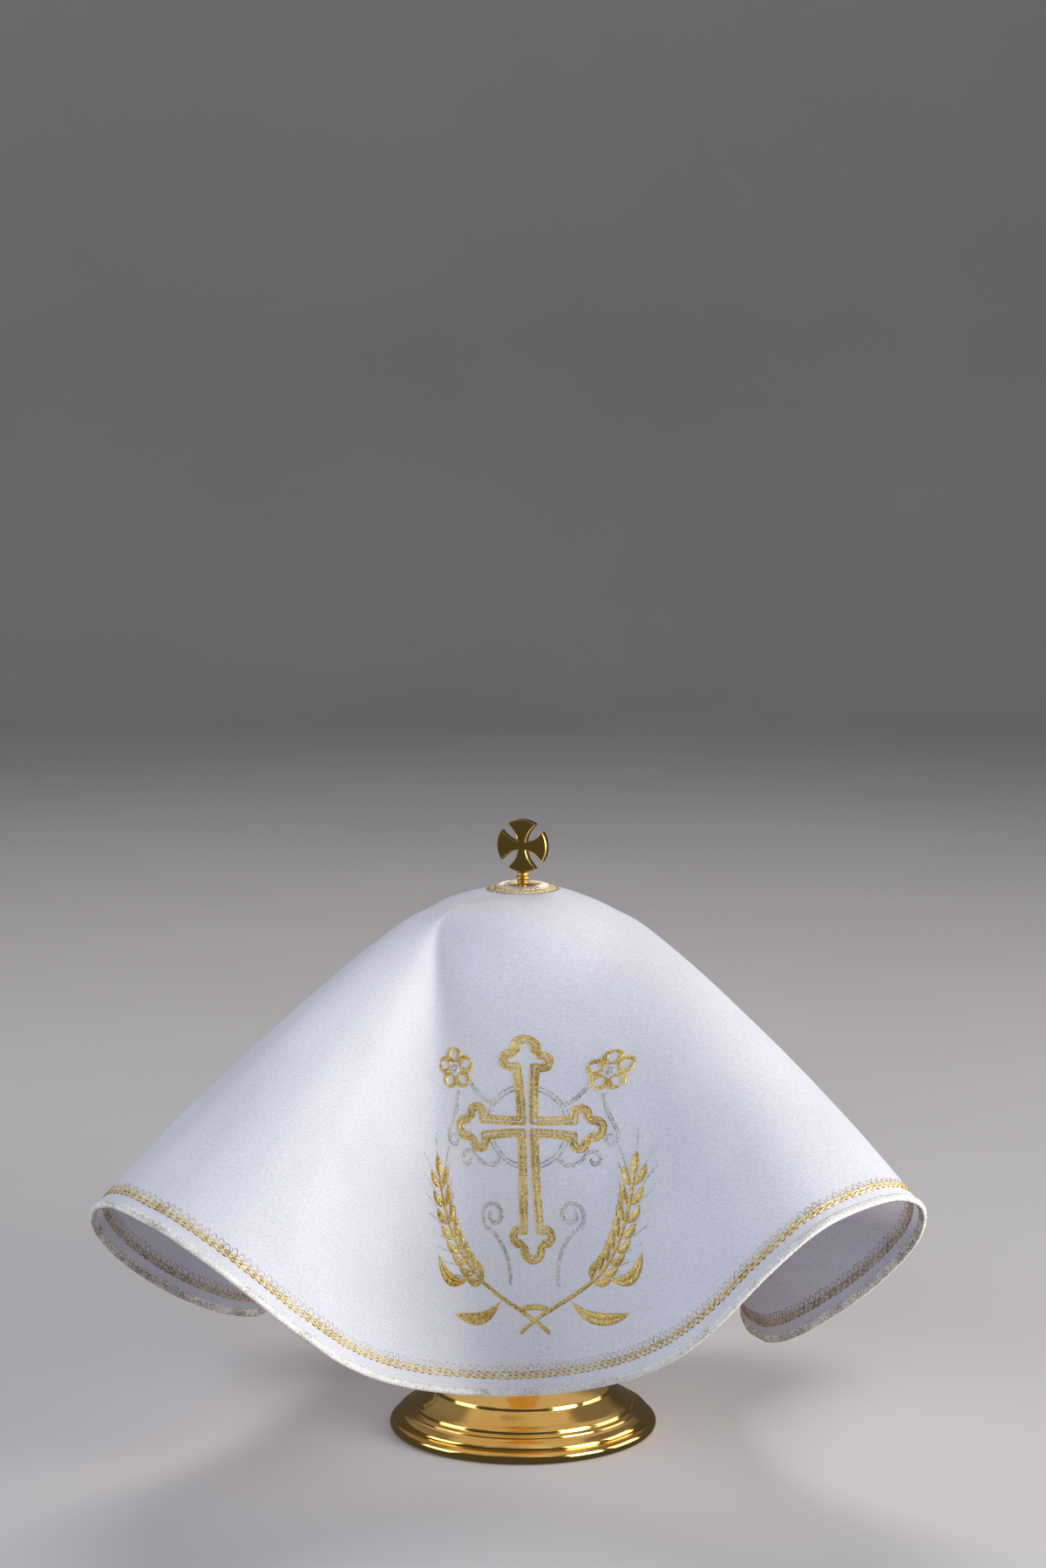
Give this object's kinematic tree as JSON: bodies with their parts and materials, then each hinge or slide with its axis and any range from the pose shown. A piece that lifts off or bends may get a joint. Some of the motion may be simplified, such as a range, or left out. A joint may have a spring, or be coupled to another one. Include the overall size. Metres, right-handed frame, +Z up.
{
  "type": "ciborium veil on a ciborium",
  "caption": "Round white embroidered veil with a gold-stitched hem and a bound middle hole, draped in deep flutes over a gilt lidded ciborium with a flared cross.",
  "frame": {"origin": "on the table, under the middle of the foot", "axes": "+Z up along the stem, front of the veil to -Y, +X to the right of it"},
  "size_m": [0.3501, 0.3733, 0.2764],
  "materials": {
    "white_cloth": "matt crepe weave",
    "gilt_brass": "polished",
    "gold_thread": "metallic embroidery thread",
    "silver_thread": "metallic embroidery thread"
  },
  "bodies": {
    "root": {"veil": "white_cloth", "ciborium_foot": "gilt_brass", "ciborium_stem": "gilt_brass", "ciborium_cup": "gilt_brass", "ciborium_lid": "gilt_brass", "ciborium_neck": "gilt_brass", "ciborium_cross": "gilt_brass"}
  },
  "joints": []
}
